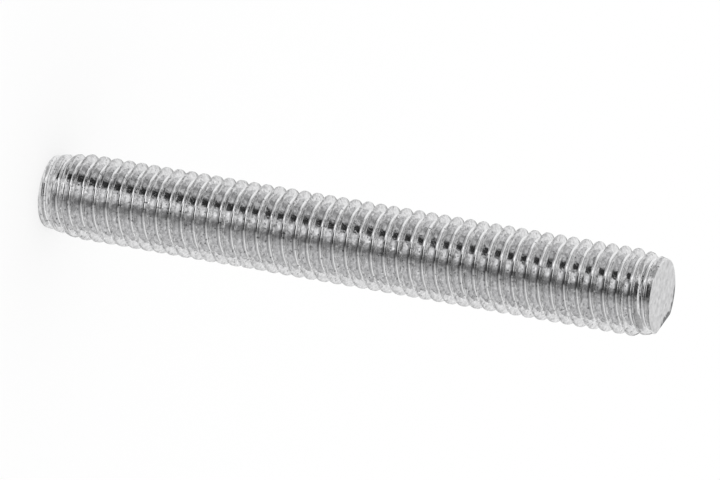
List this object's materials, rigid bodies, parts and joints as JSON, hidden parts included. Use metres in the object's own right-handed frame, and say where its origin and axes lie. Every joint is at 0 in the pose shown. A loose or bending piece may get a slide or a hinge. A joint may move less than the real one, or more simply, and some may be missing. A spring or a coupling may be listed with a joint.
{
  "type": "threaded rod",
  "caption": "Short zinc-plated steel rod threaded over its whole length, with flat ends where the thread tapers off, for joining parts with nuts or tapped holes.",
  "frame": {"origin": "centre of the lower end face, on the rod's axis", "axes": "+Z along the rod's axis, from the lower end face to the upper one"},
  "size_m": [0.0078, 0.0078, 0.06],
  "materials": {
    "zinc_plated_steel": "bright zinc plating over rolled thread"
  },
  "bodies": {
    "root": {"threaded_rod": "zinc_plated_steel"}
  },
  "joints": []
}
